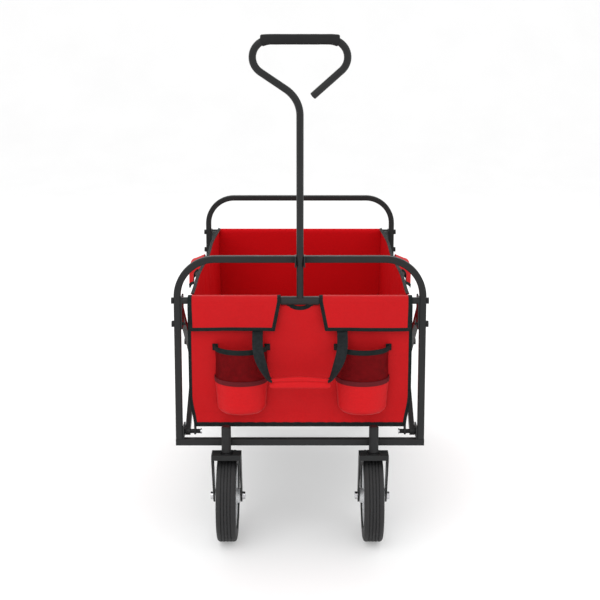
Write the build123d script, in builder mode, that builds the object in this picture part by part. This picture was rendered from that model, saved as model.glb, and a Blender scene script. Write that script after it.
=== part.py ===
from build123d import *
import os
from math import asin, atan2, cos, degrees, hypot, radians, sin, tan

os.makedirs("parts", exist_ok=True)

# Folding wagon with a pull handle, in millimetres.
# X runs across, -Y is the front where the handle is, Z is up from the ground under the wheels.

# Frames: an arch of square tube on a bottom bar, one at each end
FRAME_WIDTH = 508.0
FRAME_GAP = 800.0            # front frame's plane to rear frame's plane, opened
TUBE = 14.0                  # square tube, outside
TUBE_WALL = 1.4
TUBE_ROUND = 3.0
FRONT_ARCH_TOP = 606.0
REAR_ARCH_TOP = 614.0
FRONT_ARCH_CORNER = 84.0     # outside radius of the bent corners
REAR_ARCH_CORNER = 76.0
BAR_BOTTOM = 211.0           # underside of the bottom bars
CROSS_HEIGHT = 514.0         # cross tube between the legs, which carries the basket's hem
CROSS_R = 7.0
LOWER_BOLT_HEIGHT = 466.0

# Folding linkage: two crossed pairs of bars on each side
PIVOT_INSET = 17.0           # pivots stand this far inside the frames' planes
LOW_PIVOT = 234.0
HIGH_PIVOT = 510.0
BAR_TALL = 16.0
BAR_THICK = 10.0
OUTER_PLANE = 246.0          # middle of the outer bars
INNER_PLANE = 231.0          # middle of the inner bars
BOLT_R = 4.0
SHAFT_R = 4.5
RUNNING = 0.05               # radial clearance of a running fit
SEATED = 0.02                # radial clearance of a bolt that does not turn in its hole
OPEN_PIVOT = 0.3             # radial clearance at the two mid-bottom pivots

# Wheels and casters
WHEEL_R = 93.0
TYRE_WIDTH = 40.0
RIM_R = 68.0
HUB_R = 15.0
HUB_WIDTH = 52.0
AXLE_R = 5.0
TRACK = 150.0                # wheels' distance from the middle
CASTER_FORWARD = 18.0        # caster stems stand this far in front of the frame
CASTER_TRAIL = 38.0
REAR_AXLE_BACK = 10.0
CROWN_TOP = 200.0
CROWN_WIDTH = 60.0
FORK_SHEET = 3.0
STEM_R = 6.0
SOCKET_R = 9.75
SOCKET_BOTTOM = 203.0
SOCKET_TOP = 254.0

# Pull handle: a bent tube, welded to a sleeve that turns on the front cross tube
HANDLE_R = 7.0
HANDLE_WALL = 1.4
HANDLE_LEAN = 12.165         # degrees forward of upright when it rests in its clip
SLEEVE_R = 8.75
SLEEVE_HALF = 38.0
NECK_LENGTH = 418.8          # pivot to the corner where the loop starts
NECK_BEND = 62.0
LOOP_TOP = 532.2             # pivot to the grip's axis
LOOP_BEND = 34.0
LOOP_HALF = 54.5             # half the straight length under the grip
LOOP_END = (26.0, 425.9)     # the loop's free end, in the handle's plane
GRIP_R = 9.7
GRIP_ARC = 28.0              # degrees that the grip runs round each bend

# Basket
BASKET_HALF = 216.0
CLOTH = 3.0
BASKET_BOTTOM = 256.0
BASKET_TOP = 521.0
HEM_GAP = 0.4
HEM_THICK = 1.8
FLAP_BOTTOM = 446.0
FLAP_INNER_TOP = 39.5        # half the width of the gap for the handle
FLAP_INNER_BOTTOM = 51.0
POCKETS = {"left": -121.0, "right": 126.8}
POCKET_HALF = 51.2
POCKET_DEPTH = 41.2
POCKET_BOTTOM = 283.0
POCKET_TOP = 414.0
STRAP_WIDTH = 21.5
STRAP_THICK = 2.6
PAD_BOTTOM = 349.0
PAD_TOP = 371.0

# Worked-out places: the box around the wagon is centred on X = 0 and Y = 0
handle_reach = LOOP_TOP * sin(radians(HANDLE_LEAN)) + GRIP_R
FRONT_Y = (handle_reach - (FRAME_GAP + REAR_AXLE_BACK + WHEEL_R)) / 2
REAR_Y = FRONT_Y + FRAME_GAP
leg_x = (FRAME_WIDTH - TUBE) / 2
half_span = FRAME_GAP / 2 - PIVOT_INSET
middle_y = (FRONT_Y + REAR_Y) / 2
link_rise = HIGH_PIVOT - LOW_PIVOT
link_length = hypot(half_span, link_rise)
link_slope = degrees(atan2(link_rise, half_span))
crossing_z = (LOW_PIVOT + HIGH_PIVOT) / 2
front_crossing_y = middle_y - half_span / 2
rear_crossing_y = middle_y + half_span / 2
inner_face = leg_x - TUBE / 2
outer_bars = (OUTER_PLANE - BAR_THICK / 2, OUTER_PLANE + BAR_THICK / 2)
inner_bars = (INNER_PLANE - BAR_THICK / 2, INNER_PLANE + BAR_THICK / 2)


def keep(piece, label):
    """Label a finished piece and write its file."""
    piece.part.label = label
    export_step(piece.part, f"parts/{label}.step")


def turned(label, spots, steps, bore=None, both_sides=True):
    """Round pieces along X at each (y, z) spot, from steps of (from x, to x, radius)."""
    with BuildPart() as piece:
        for y, z in spots:
            for start, end, radius in steps:
                with Locations(((start + end) / 2, y, z)):
                    Cylinder(radius, end - start, rotation=(0, 90, 0))
            if bore:
                start, end, radius = bore
                with Locations(((start + end) / 2, y, z)):
                    Cylinder(radius, end - start, rotation=(0, 90, 0), mode=Mode.SUBTRACT)
        if both_sides:
            mirror(about=Plane.YZ)
    keep(piece, label)


# End frames ---------------------------------------------------------------------------

def arch(label, y, top, corner):
    """Two legs and a top bar, bent from one square tube and drilled for the leg bolts."""
    foot = BAR_BOTTOM + TUBE
    crest = top - TUBE / 2
    with BuildPart() as bent:
        with BuildLine(Plane.XZ.offset(-y)) as route:
            FilletPolyline(
                (-leg_x, foot), (-leg_x, crest), (leg_x, crest), (leg_x, foot),
                radius=corner - TUBE / 2,
            )
        with BuildSketch(Plane(origin=(-leg_x, y, foot), x_dir=(1, 0, 0), z_dir=(0, 0, 1))):
            RectangleRounded(TUBE, TUBE, TUBE_ROUND)
            RectangleRounded(TUBE - 2 * TUBE_WALL, TUBE - 2 * TUBE_WALL, TUBE_ROUND - TUBE_WALL,
                             mode=Mode.SUBTRACT)
        sweep(path=route.line)
        for height in (CROSS_HEIGHT, LOWER_BOLT_HEIGHT):
            with Locations((0, y, height)):
                Cylinder(3.1, FRAME_WIDTH + 10, rotation=(0, 90, 0), mode=Mode.SUBTRACT)
    keep(bent, label)


def bottom_bar(label, y):
    """Square tube under both legs, with closed ends and a vent hole underneath."""
    inside = TUBE - 2 * TUBE_WALL
    with BuildPart() as bar:
        with Locations((0, y, BAR_BOTTOM + TUBE / 2)):
            Box(FRAME_WIDTH, TUBE, TUBE)
            fillet(bar.edges().filter_by(Axis.X), 2.0)
            Box(FRAME_WIDTH - 6, inside, inside, mode=Mode.SUBTRACT)
        with Locations((0, y, BAR_BOTTOM)):
            Cylinder(2.5, 6, mode=Mode.SUBTRACT)
    keep(bar, label)


def cross_tube(label, y):
    """Round tube between the legs, plugged at the ends, with a hole for each leg bolt."""
    end = inner_face - FORK_SHEET - 0.1
    with BuildPart() as tube:
        with Locations((0, y, CROSS_HEIGHT)):
            Cylinder(CROSS_R, 2 * end, rotation=(0, 90, 0))
            Cylinder(CROSS_R - TUBE_WALL, 2 * (end - 8), rotation=(0, 90, 0), mode=Mode.SUBTRACT)
            Cylinder(3.05, 2 * end + 2, rotation=(0, 90, 0), mode=Mode.SUBTRACT)
    keep(tube, label)


def leg_brackets(label, y, inward):
    """Plates on the legs' inner faces: an open-topped saddle above and a pivot plate below."""
    pivot_y = y + inward * PIVOT_INSET
    plate_x = inner_face - FORK_SHEET / 2
    plate_y = y + inward * 10.5
    with BuildPart() as plates:
        for side in (-1, 1):
            with Locations((side * plate_x, plate_y, 489)):
                Box(FORK_SHEET, 35, 66)
            with Locations((side * plate_x, plate_y, 237.7)):
                Box(FORK_SHEET, 35, 24.6)
        slot_r = BOLT_R + OPEN_PIVOT
        with Locations((0, pivot_y, HIGH_PIVOT)):
            Cylinder(slot_r, FRAME_WIDTH, rotation=(0, 90, 0), mode=Mode.SUBTRACT)
        with Locations((0, pivot_y, HIGH_PIVOT + 10)):
            Box(FRAME_WIDTH, 2 * slot_r, 20, mode=Mode.SUBTRACT)
        with Locations((0, pivot_y, LOW_PIVOT)):
            Cylinder(SHAFT_R + SEATED, FRAME_WIDTH, rotation=(0, 90, 0), mode=Mode.SUBTRACT)
        for height in (CROSS_HEIGHT, LOWER_BOLT_HEIGHT):
            with Locations((0, y, height)):
                Cylinder(3.1, FRAME_WIDTH, rotation=(0, 90, 0), mode=Mode.SUBTRACT)
    keep(plates, label)


def floor_tube(label, y, inward):
    """Tube under the basket's bottom edge, on two hangers over the pivot shafts."""
    pivot_y = y + inward * PIVOT_INSET
    with BuildPart() as tube:
        with Locations((0, pivot_y, 248.5)):
            Cylinder(4.5, 436, rotation=(0, 90, 0))
        for side in (-1, 1):
            with Locations((side * 216, pivot_y, 240)):
                Box(4, 13, 22)
        with Locations((0, pivot_y, LOW_PIVOT)):
            Cylinder(SHAFT_R + SEATED, 440, rotation=(0, 90, 0), mode=Mode.SUBTRACT)
    keep(tube, label)


for end, y, inward, top, corner in (
    ("front", FRONT_Y, 1, FRONT_ARCH_TOP, FRONT_ARCH_CORNER),
    ("rear", REAR_Y, -1, REAR_ARCH_TOP, REAR_ARCH_CORNER),
):
    pivot_y = y + inward * PIVOT_INSET
    arch(f"{end}_arch", y, top, corner)
    bottom_bar(f"{end}_bottom_bar", y)
    cross_tube(f"{end}_cross_tube", y)
    leg_brackets(f"{end}_leg_brackets", y, inward)
    floor_tube(f"{end}_floor_tube", y, inward)
    outer_face = FRAME_WIDTH / 2
    turned(
        f"{end}_frame_bolts", [(y, CROSS_HEIGHT), (y, LOWER_BOLT_HEIGHT)],
        [(231, outer_face, 3.0), (outer_face, outer_face + 5, 6.5)],
    )
    head = (240.3, 245.5) if end == "front" else (outer_bars[1] + 0.5, outer_bars[1] + 5)
    turned(
        f"{end}_pivot_shafts", [(pivot_y, LOW_PIVOT)],
        [(205, head[0], SHAFT_R), (*head, 7.0)],
    )
turned("shaft_caps", [(FRONT_Y + PIVOT_INSET, LOW_PIVOT)], [(202.5, 204.9, 5.6)])


# Folding bars ---------------------------------------------------------------------------

def bars(label, plane_x, crossing_y, slope, bores):
    """One bar on each side, hollow between its eyes. Bores are for the front, middle and rear pins."""
    cavity = link_length / 2 - 24
    with BuildPart() as pair:
        for side in (-1, 1):
            face = Plane(
                origin=(side * plane_x, crossing_y, crossing_z),
                x_dir=(0, cos(radians(slope)), sin(radians(slope))),
                z_dir=(1, 0, 0),
            )
            with BuildSketch(face):
                SlotCenterToCenter(link_length, BAR_TALL)
            extrude(amount=BAR_THICK / 2, both=True)
            with BuildSketch(face):
                with Locations((-link_length / 4, 0), (link_length / 4, 0)):
                    RectangleRounded(cavity, BAR_TALL - 3, 3)
            extrude(amount=BAR_THICK / 2 - 1.5, both=True, mode=Mode.SUBTRACT)
            with BuildSketch(face):
                with Locations((-link_length / 4, 0), (link_length / 4, 0)):
                    Circle(2)
            extrude(amount=-side * BAR_THICK, mode=Mode.SUBTRACT)
        rise = link_rise / 2 if slope > 0 else -link_rise / 2
        places = ((-half_span / 2, -rise), (0, 0), (half_span / 2, rise))
        for (dy, dz), bore in zip(places, bores):
            with Locations((0, crossing_y + dy, crossing_z + dz)):
                Cylinder(bore, FRAME_WIDTH + 20, rotation=(0, 90, 0), mode=Mode.SUBTRACT)
    keep(pair, label)


turning = BOLT_R + RUNNING
seated = BOLT_R + SEATED
on_shaft = SHAFT_R + RUNNING
bars("front_rising_bars", INNER_PLANE, front_crossing_y, link_slope, (on_shaft, seated, turning))
bars("front_falling_bars", OUTER_PLANE, front_crossing_y, -link_slope, (seated, turning, seated))
bars("rear_falling_bars", OUTER_PLANE, rear_crossing_y, -link_slope, (turning, seated, on_shaft))
bars("rear_rising_bars", INNER_PLANE, rear_crossing_y, link_slope,
     (BOLT_R + OPEN_PIVOT, turning, seated))

through = (inner_bars[0] - 1.2, outer_bars[1] + 0.4, BOLT_R)
spacer = (inner_bars[1] + 0.4, outer_bars[0] - 0.4, 7.5)
cap = (outer_bars[1] + 0.4, outer_bars[1] + 4.5, 7.0)
turned("front_crossing_bolts", [(front_crossing_y, crossing_z)], [through, spacer, cap])
turned("rear_crossing_bolts", [(rear_crossing_y, crossing_z)], [through, spacer, cap])
turned("top_joint_bolts", [(middle_y, HIGH_PIVOT)], [through, spacer, cap])
turned(
    "front_saddle_pins", [(FRONT_Y + PIVOT_INSET, HIGH_PIVOT)],
    [(236.5, cap[0], BOLT_R), cap],
)
turned(
    "rear_saddle_pins", [(REAR_Y - PIVOT_INSET, HIGH_PIVOT)],
    [(inner_bars[0] - 2.2, inner_bars[0] - 0.4, 6.5), (inner_bars[0] - 0.4, 240.6, BOLT_R)],
)
turned(
    "middle_cross_tube", [(middle_y, LOW_PIVOT)],
    [(-225, 225, 6.0), (225, cap[0], BOLT_R), (-cap[0], -225, BOLT_R),
     (cap[0], 266, 7.0), (-266, -cap[0], 7.0)],
    both_sides=False,
)


# Wheels and casters -----------------------------------------------------------------------

def wheel(place, x, y):
    """A ribbed tyre on a rim with a web, six holes and a hub."""
    half = TYRE_WIDTH / 2
    groove = 2.0
    with BuildPart() as tyre:
        with BuildSketch(Plane.XZ.offset(-y)):
            with BuildLine():
                Polyline((x - half, RIM_R + 0.05 + WHEEL_R), (x + half, RIM_R + 0.05 + WHEEL_R),
                         (x + half, 2 * WHEEL_R - 7))
                ThreePointArc((x + half, 2 * WHEEL_R - 7), (x + half - 1.9, 2 * WHEEL_R - 2.1),
                              (x + half - 7, 2 * WHEEL_R))
                Line((x + half - 7, 2 * WHEEL_R), (x - half + 7, 2 * WHEEL_R))
                ThreePointArc((x - half + 7, 2 * WHEEL_R), (x - half + 1.9, 2 * WHEEL_R - 2.1),
                              (x - half, 2 * WHEEL_R - 7))
                Line((x - half, 2 * WHEEL_R - 7), (x - half, RIM_R + 0.05 + WHEEL_R))
            make_face()
            with Locations(*[(x + k * 6.5, 2 * WHEEL_R) for k in (-1.5, -0.5, 0.5, 1.5)]):
                Rectangle(2.2, 2 * groove, mode=Mode.SUBTRACT)
        revolve(axis=Axis((x, y, WHEEL_R), (1, 0, 0)))
    keep(tyre, f"{place}_tyre")
    with BuildPart() as rim:
        with Locations((x, y, WHEEL_R)):
            Cylinder(RIM_R, 34, rotation=(0, 90, 0))
            Cylinder(RIM_R - 6, 36, rotation=(0, 90, 0), mode=Mode.SUBTRACT)
            Cylinder(RIM_R - 5, 7, rotation=(0, 90, 0))
            Cylinder(HUB_R, HUB_WIDTH, rotation=(0, 90, 0))
            Cylinder(AXLE_R + RUNNING, HUB_WIDTH + 2, rotation=(0, 90, 0), mode=Mode.SUBTRACT)
        with BuildSketch(Plane(origin=(x - 10, y, WHEEL_R), x_dir=(0, 1, 0), z_dir=(1, 0, 0))):
            with PolarLocations(39, 6):
                Circle(13)
        extrude(amount=20, mode=Mode.SUBTRACT)
    keep(rim, f"{place}_wheel_rim")


def forks(label, places, stem_y, axle_y, post_height=0):
    """Crown sheet with a folded front lip and two cheeks down to the axle, at each x."""
    half = CROWN_WIDTH / 2
    front = stem_y - 15.5
    back = stem_y + 15.5
    with BuildPart() as fork:
        for x in places:
            for side in (-1, 1):
                cheek_x = x + side * (half - FORK_SHEET / 2)
                with BuildSketch(Plane(origin=(cheek_x, 0, 0), x_dir=(0, 1, 0), z_dir=(1, 0, 0))):
                    with BuildLine():
                        Polyline((front, CROWN_TOP - 0.5), (back, CROWN_TOP - 0.5),
                                 (axle_y + 12, WHEEL_R + 5), (axle_y - 12, WHEEL_R - 5),
                                 (front, CROWN_TOP - 14), close=True)
                    make_face()
                    with Locations((axle_y, WHEEL_R)):
                        Circle(13)
                extrude(amount=FORK_SHEET / 2, both=True)
            with Locations((x, stem_y, CROWN_TOP - FORK_SHEET / 2)):
                Box(CROWN_WIDTH, 31, FORK_SHEET)
            with Locations((x, front + FORK_SHEET / 2, CROWN_TOP - 5.5)):
                Box(CROWN_WIDTH, FORK_SHEET, 11)
            with Locations((x, axle_y, WHEEL_R)):
                Cylinder(AXLE_R + SEATED, CROWN_WIDTH + 10, rotation=(0, 90, 0), mode=Mode.SUBTRACT)
            if post_height:
                with Locations((x, stem_y, CROWN_TOP + post_height / 2)):
                    Cylinder(9, post_height)
    keep(fork, label)


def axle_steps(x):
    """A plain axle through both cheeks, with a nut on each end."""
    half = CROWN_WIDTH / 2
    return [
        (x - half - 2, x + half + 2, AXLE_R),
        (x + half + 0.1, x + half + 6, 8.0),
        (x - half - 6, x - half - 0.1, 8.0),
    ]


stem_y = FRONT_Y - CASTER_FORWARD
caster_axle_y = stem_y + CASTER_TRAIL
rear_axle_y = REAR_Y + REAR_AXLE_BACK
for side, x in (("left", -TRACK), ("right", TRACK)):
    wheel(f"front_{side}", x, caster_axle_y)
    wheel(f"rear_{side}", x, rear_axle_y)
    forks(f"caster_fork_{side}", [x], stem_y, caster_axle_y)
    with BuildPart() as stem:
        with Locations((x, stem_y, (CROWN_TOP + SOCKET_TOP - 5) / 2)):
            Cylinder(STEM_R, SOCKET_TOP - 5 - CROWN_TOP)
        with Locations((x, stem_y, CROWN_TOP + 1.25)):
            Cylinder(13, 2.5)
    keep(stem, f"caster_stem_{side}")
    turned(f"caster_axle_{side}", [(caster_axle_y, WHEEL_R)], axle_steps(x), both_sides=False)
turned("rear_axles", [(rear_axle_y, WHEEL_R)], axle_steps(TRACK))

with BuildPart() as sockets:
    for x in (-TRACK, TRACK):
        with Locations((x, stem_y, (SOCKET_BOTTOM + SOCKET_TOP) / 2)):
            Cylinder(SOCKET_R, SOCKET_TOP - SOCKET_BOTTOM)
        with Locations((x, FRONT_Y - TUBE / 2 - 2.5, BAR_BOTTOM + TUBE / 2)):
            Box(12, 5, 10)
        with Locations((x, stem_y, (SOCKET_BOTTOM + SOCKET_TOP) / 2)):
            Cylinder(STEM_R + RUNNING, SOCKET_TOP - SOCKET_BOTTOM + 2, mode=Mode.SUBTRACT)
keep(sockets, "caster_sockets")

with BuildPart() as socket_caps:
    for x in (-TRACK, TRACK):
        with Locations((x, stem_y, SOCKET_TOP + 1.5)):
            Cylinder(SOCKET_R - 0.3, 3)
    chamfer(socket_caps.edges().group_by(Axis.Z)[-1], 1.5)
keep(socket_caps, "socket_caps")

forks("rear_forks", [-TRACK, TRACK], REAR_Y, rear_axle_y, BAR_BOTTOM - CROWN_TOP)


# Pull handle --------------------------------------------------------------------------------

lean = radians(HANDLE_LEAN)
handle_plane = Plane(
    origin=(0, FRONT_Y, CROSS_HEIGHT), x_dir=(1, 0, 0), z_dir=(0, -cos(lean), -sin(lean))
)
bend_v = LOOP_TOP - LOOP_BEND


def slope_to_bend(dx, dy):
    """Slope, in radians above level, of a run that passes under the bend centred (dx, dy) away."""
    return atan2(dy, dx) - asin(LOOP_BEND / hypot(dx, dy))


left_slope = slope_to_bend(LOOP_HALF, bend_v - NECK_LENGTH)
right_slope = slope_to_bend(LOOP_HALF - LOOP_END[0], bend_v - LOOP_END[1])
left_corner = -(LOOP_TOP - NECK_LENGTH) / tan(left_slope)
right_corner = LOOP_END[0] + (LOOP_TOP - LOOP_END[1]) / tan(right_slope)

with BuildPart() as handle_tube:
    with BuildLine(handle_plane) as handle_route:
        FilletPolyline(
            (0, 4), (0, NECK_LENGTH), (left_corner, LOOP_TOP), (right_corner, LOOP_TOP), LOOP_END,
            radius=(NECK_BEND, LOOP_BEND, LOOP_BEND),
        )
    with BuildSketch(Plane(origin=handle_route.line @ 0, z_dir=handle_route.line % 0)):
        Circle(HANDLE_R)
        Circle(HANDLE_R - HANDLE_WALL, mode=Mode.SUBTRACT)
    sweep(path=handle_route.line)
    with Locations((0, FRONT_Y, CROSS_HEIGHT)):
        Cylinder(SLEEVE_R, 40, rotation=(0, 90, 0), mode=Mode.SUBTRACT)
keep(handle_tube, "handle_tube")

turned(
    "handle_sleeve", [(FRONT_Y, CROSS_HEIGHT)], [(-SLEEVE_HALF, SLEEVE_HALF, SLEEVE_R)],
    bore=(-SLEEVE_HALF - 1, SLEEVE_HALF + 1, CROSS_R + RUNNING), both_sides=False,
)

with BuildPart() as grip:
    with BuildLine(handle_plane) as grip_route:
        CenterArc((-LOOP_HALF, bend_v), LOOP_BEND, 90 + GRIP_ARC, -GRIP_ARC)
        Line((-LOOP_HALF, LOOP_TOP), (LOOP_HALF, LOOP_TOP))
        CenterArc((LOOP_HALF, bend_v), LOOP_BEND, 90, -GRIP_ARC)
    with BuildSketch(Plane(origin=grip_route.line @ 0, z_dir=grip_route.line % 0)):
        Circle(GRIP_R)
        Circle(HANDLE_R + 0.03, mode=Mode.SUBTRACT)
    sweep(path=grip_route.line)
keep(grip, "handle_grip")

# Plug in the loop's free end, a cap on a spigot
plug_plane = Plane(origin=handle_route.line @ 1, z_dir=handle_route.line % 1)
with BuildPart() as plug:
    with BuildSketch(plug_plane):
        Circle(HANDLE_R)
    extrude(amount=3)
    rim_edges = plug.faces().sort_by(Axis(plug_plane.origin, plug_plane.z_dir))[-1].edges()
    fillet(rim_edges, 1.5)
    with BuildSketch(plug_plane):
        Circle(HANDLE_R - HANDLE_WALL - SEATED)
    extrude(amount=-12)
keep(plug, "handle_end_plug")

with BuildPart() as clip:
    with Locations((0, FRONT_Y - TUBE / 2 - 0.5, 598)):
        Box(21, 1, 22.8)
    for side in (-1, 1):
        with Locations((side * 8.95, FRONT_Y - TUBE / 2 - 9, 598)):
            Box(3.1, 18, 22.8)
keep(clip, "handle_clip")


# Basket ---------------------------------------------------------------------------------------

def end_panel(label, y, inward, gap_half):
    """End wall of the basket, hung by its hem from the cross tube and leaning in at the bottom."""
    top_z = CROSS_HEIGHT - CROSS_R - 1
    lean_in = 13.0
    outer_r = CROSS_R + HEM_GAP + HEM_THICK
    wall = Plane(origin=(0, y, 0), x_dir=(0, 1, 0), z_dir=(1, 0, 0))
    with BuildPart() as panel:
        with BuildSketch(wall):
            with BuildLine():
                Polyline((-CLOTH / 2, top_z), (CLOTH / 2, top_z),
                         (inward * lean_in + CLOTH / 2, BASKET_BOTTOM),
                         (inward * lean_in - CLOTH / 2, BASKET_BOTTOM), close=True)
            make_face()
        extrude(amount=BASKET_HALF, both=True)
        with Locations((0, y, CROSS_HEIGHT)):
            Cylinder(outer_r, 2 * BASKET_HALF, rotation=(0, 90, 0))
            Cylinder(outer_r - HEM_THICK, 2 * BASKET_HALF + 2, rotation=(0, 90, 0), mode=Mode.SUBTRACT)
        if gap_half:
            with Locations((0, y, CROSS_HEIGHT)):
                Box(2 * gap_half, 30, 22, mode=Mode.SUBTRACT)
    keep(panel, label)


end_panel("front_panel", FRONT_Y, 1, FLAP_INNER_TOP)
end_panel("rear_panel", REAR_Y, -1, 0)

with BuildPart() as flap:
    hem_r = CROSS_R + HEM_GAP + HEM_THICK + 0.3
    for side in (-1, 1):
        with BuildSketch(Plane(origin=(side * FLAP_INNER_TOP, FRONT_Y, CROSS_HEIGHT),
                               x_dir=(0, 1, 0), z_dir=(side, 0, 0))):
            Circle(hem_r + HEM_THICK)
            Circle(hem_r, mode=Mode.SUBTRACT)
        extrude(amount=BASKET_HALF - FLAP_INNER_TOP)
    with Locations((0, FRONT_Y, CROSS_HEIGHT - 12)):
        Box(FRAME_WIDTH, 26, 24, mode=Mode.SUBTRACT)
    with Locations((0, FRONT_Y + 12, CROSS_HEIGHT)):
        Box(FRAME_WIDTH, 14, 30, mode=Mode.SUBTRACT)
    for side in (-1, 1):
        with BuildSketch(Plane.XZ.offset(-(FRONT_Y - hem_r))):
            with BuildLine():
                Polyline((side * FLAP_INNER_TOP, CROSS_HEIGHT), (side * BASKET_HALF, CROSS_HEIGHT),
                         (side * BASKET_HALF, FLAP_BOTTOM), (side * FLAP_INNER_BOTTOM, FLAP_BOTTOM),
                         close=True)
            make_face()
        extrude(amount=HEM_THICK)
keep(flap, "front_flap")

for side, x in POCKETS.items():
    pocket_y = FRONT_Y + 2.6
    with BuildPart() as pocket:
        with BuildSketch(Plane.XY.offset(POCKET_BOTTOM)):
            with Locations((x, pocket_y)):
                Ellipse(POCKET_HALF, POCKET_DEPTH)
            with Locations((x, pocket_y + POCKET_DEPTH)):
                Rectangle(3 * POCKET_HALF, 2 * POCKET_DEPTH, mode=Mode.SUBTRACT)
        extrude(amount=POCKET_TOP - POCKET_BOTTOM)
        with BuildSketch(Plane.XY.offset(POCKET_BOTTOM + 2.4)):
            with Locations((x, pocket_y)):
                Ellipse(POCKET_HALF - 2.4, POCKET_DEPTH - 2.4)
            with Locations((x, pocket_y + POCKET_DEPTH - 2)):
                Rectangle(3 * POCKET_HALF, 2 * POCKET_DEPTH, mode=Mode.SUBTRACT)
        extrude(amount=POCKET_TOP - POCKET_BOTTOM, mode=Mode.SUBTRACT)
    keep(pocket, f"cup_pocket_{side}")

# Carry handle on the front: two webbing straps down to a folded pad
strap_route = ((85.0, -6.9, 453.0), (85.0, -6.9, 447.0), (85.0, -40.0, 418.0), (80.0, -45.5, 392.0),
               (66.0, -46.5, 366.0))
with BuildPart() as carry_handle:
    for side in (-1, 1):
        for x, dy, z in strap_route:
            with BuildSketch(Plane.XY.offset(z)):
                with Locations((side * x, FRONT_Y + dy)):
                    Rectangle(STRAP_WIDTH, STRAP_THICK)
        loft(ruled=True)
    with Locations((0, FRONT_Y - 46.5, (PAD_BOTTOM + PAD_TOP) / 2)):
        Box(124, 8, PAD_TOP - PAD_BOTTOM)
keep(carry_handle, "carry_handle")

inside_length = FRAME_GAP - 36
wall_x = BASKET_HALF - CLOTH / 2 - 1
wall_height = BASKET_TOP - BASKET_BOTTOM - 2
COVER_IN, COVER_OUT = 221, 259.5
COVER_LOW, COVER_HIGH = 455, 524
COVER_HALF = 100
COVER_CLOTH = 2.5
for side, sign in (("left", -1), ("right", 1)):
    with BuildPart() as side_wall:
        with Locations((sign * wall_x, middle_y, BASKET_TOP - wall_height / 2)):
            Box(CLOTH, inside_length, wall_height)
    keep(side_wall, f"side_wall_{side}")
    with BuildPart() as joint_cover:
        with BuildSketch(Plane.XZ.offset(-(middle_y + COVER_HALF))):
            with Locations((sign * (COVER_IN + COVER_OUT) / 2, COVER_HIGH - COVER_CLOTH / 2)):
                Rectangle(COVER_OUT - COVER_IN, COVER_CLOTH)
            with Locations((sign * (COVER_OUT - COVER_CLOTH / 2), (COVER_LOW + COVER_HIGH) / 2)):
                Rectangle(COVER_CLOTH, COVER_HIGH - COVER_LOW)
        extrude(amount=2 * COVER_HALF)
    keep(joint_cover, f"joint_cover_{side}")

with BuildPart() as basket_floor:
    with Locations((0, middle_y, BASKET_BOTTOM - 0.2)):
        Box(2 * BASKET_HALF - 10, inside_length, CLOTH)
keep(basket_floor, "basket_floor")
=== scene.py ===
from math import atan2, cos, pi, radians, sin, sqrt

import bpy
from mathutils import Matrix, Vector, noise


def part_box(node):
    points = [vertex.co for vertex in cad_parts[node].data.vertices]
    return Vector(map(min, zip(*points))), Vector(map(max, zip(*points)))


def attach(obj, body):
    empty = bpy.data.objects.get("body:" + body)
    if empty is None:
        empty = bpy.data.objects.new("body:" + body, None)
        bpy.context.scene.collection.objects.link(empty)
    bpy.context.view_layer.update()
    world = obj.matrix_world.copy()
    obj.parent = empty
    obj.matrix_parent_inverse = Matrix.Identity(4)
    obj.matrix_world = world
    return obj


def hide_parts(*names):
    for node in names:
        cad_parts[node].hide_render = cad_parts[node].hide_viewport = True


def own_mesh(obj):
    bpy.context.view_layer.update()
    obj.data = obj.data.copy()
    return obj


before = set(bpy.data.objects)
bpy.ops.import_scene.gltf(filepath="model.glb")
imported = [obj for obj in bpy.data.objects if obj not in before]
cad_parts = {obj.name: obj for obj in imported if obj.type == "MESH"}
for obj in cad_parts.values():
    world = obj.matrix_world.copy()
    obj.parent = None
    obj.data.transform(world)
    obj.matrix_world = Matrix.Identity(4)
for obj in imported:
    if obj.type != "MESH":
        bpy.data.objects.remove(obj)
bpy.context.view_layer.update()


# Places, all from the frame -----------------------------------------------------------------------

def middle(node):
    low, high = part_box(node)
    return [(a + b) / 2 for a, b in zip(low, high)]


FRONT = middle("front_cross_tube")[1]           # the front frame's plane
REAR = middle("rear_cross_tube")[1]
MIDDLE = (FRONT + REAR) / 2
SPAN = REAR - FRONT
CROSS_Z = middle("front_cross_tube")[2]         # the cross tubes' axis
TUBE_R = (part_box("front_cross_tube")[1][2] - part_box("front_cross_tube")[0][2]) / 2
FLOOR_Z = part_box("front_panel")[0][2]
FLAP_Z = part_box("front_flap")[0][2] + 0.0085    # the flap's lower edge
WALL_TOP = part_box("side_wall_left")[1][2]
LEAN_IN = 0.013                                 # how far the end panels' feet stand inside their tops
SIDES = ((-1, "left"), (1, "right"))

TAPE, NARROW_TAPE = 0.0070, 0.0050              # binding widths
TAPE_THICK = 0.0022
CLOTH_THICK = 0.0012
STITCH_PITCH, STITCH_LENGTH = 0.0046, 0.0032


# Camera and light ---------------------------------------------------------------------------------

CAMERA_AWAY, CAMERA_Z = 2.2258, 1.0445          # its distance from the front frame, and its height
CAMERA_PITCH = radians(8.84)                    # it looks down by this much

camera = bpy.data.objects.new("camera", bpy.data.cameras.new("camera"))
bpy.context.scene.collection.objects.link(camera)
camera.location = (0, FRONT - CAMERA_AWAY, CAMERA_Z)
camera.rotation_euler = (pi / 2 - CAMERA_PITCH, 0, 0)
camera.data.lens = 68.03
camera.data.sensor_width = 36
camera.data.shift_y = -0.15
bpy.context.scene.camera = camera
bpy.context.scene.view_settings.view_transform = "Standard"


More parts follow.
